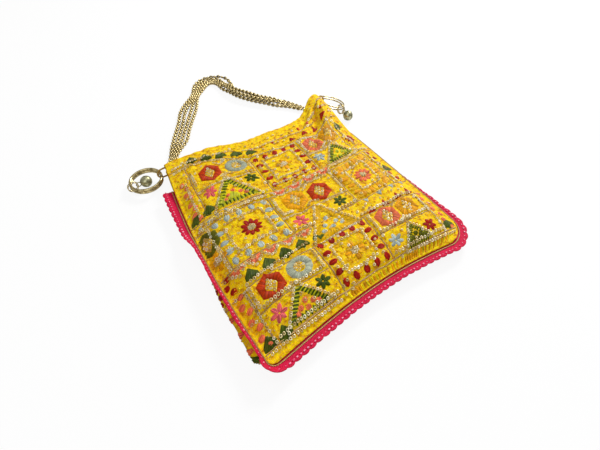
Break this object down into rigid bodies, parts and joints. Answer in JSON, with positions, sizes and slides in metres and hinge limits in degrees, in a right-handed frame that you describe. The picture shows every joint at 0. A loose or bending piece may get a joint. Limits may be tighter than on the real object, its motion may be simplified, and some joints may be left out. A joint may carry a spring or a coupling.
{
  "type": "potli bag",
  "caption": "Drawstring potli pouch in quilted yellow patchwork, edged with pink lace, with ring-and-bell string ends and a bead-chain handle.",
  "frame": {"origin": "centre of the back's flat face, on the surface that the pouch lies on", "axes": "+Y along the pouch from its base to its mouth and handle, +X across it to the right as the front is seen, +Z out of the front"},
  "size_m": [0.258, 0.3766, 0.0279],
  "materials": {
    "embroidered_cloth": "golden-yellow quilted cloth with satin-stitch patches, braid lines and sequins",
    "lining_cotton": "plain woven cotton",
    "pink_lace": "hot-pink lace edging with a gold thread line and small beads",
    "yellow_cord": "twisted cotton cord",
    "antique_brass": "pale antique brass, polished on the high spots",
    "bell_metal": "dull grey-gold bell metal"
  },
  "bodies": {
    "bag": {"front_panel": "embroidered_cloth", "back_panel": "embroidered_cloth", "lining": "lining_cotton", "lace_trim": "pink_lace", "drawstring": "yellow_cord", "left_chain_tab": "embroidered_cloth", "right_chain_tab": "embroidered_cloth"},
    "handle": {"left_chain_ring": "antique_brass", "right_chain_ring": "antique_brass", "chain_strand_1": "antique_brass", "chain_strand_2": "antique_brass", "chain_strand_3": "antique_brass", "chain_strand_4": "antique_brass"},
    "left_rings": {"left_pull_ring_lower": "antique_brass", "left_pull_ring_upper": "antique_brass"},
    "right_rings": {"right_pull_ring_lower": "antique_brass", "right_pull_ring_upper": "antique_brass"},
    "left_bell": {"left_jump_ring_1": "antique_brass", "left_jump_ring_2": "antique_brass", "left_bell_shell": "bell_metal", "left_bell_pellet": "bell_metal"},
    "right_bell": {"right_jump_ring_1": "antique_brass", "right_jump_ring_2": "antique_brass", "right_bell_shell": "bell_metal", "right_bell_pellet": "bell_metal"}
  },
  "joints": [
    {"name": "handle_swing", "type": "hinge", "parent": "bag", "child": "handle", "pos_m": [0, 0.1162, 0.0025], "axis": [1, 0, 0], "range_deg": [0, 90]},
    {"name": "left_ring_swing", "type": "hinge", "parent": "bag", "child": "left_rings", "pos_m": [-0.08625, 0.111, 0.0058], "axis": [0, 1, 0], "range_deg": [0, 80]},
    {"name": "right_ring_swing", "type": "hinge", "parent": "bag", "child": "right_rings", "pos_m": [0.10925, 0.111, 0.01], "axis": [0, -1, 0], "range_deg": [0, 80]},
    {"name": "left_bell_swing", "type": "hinge", "parent": "left_rings", "child": "left_bell", "pos_m": [-0.1157, 0.111, 0.0055], "axis": [0, 1, 0], "range_deg": [-80, 90]},
    {"name": "right_bell_swing", "type": "hinge", "parent": "right_rings", "child": "right_bell", "pos_m": [0.12335, 0.09625, 0.00714], "axis": [-0.956, 0, 0.2932], "range_deg": [-80, 90]}
  ]
}
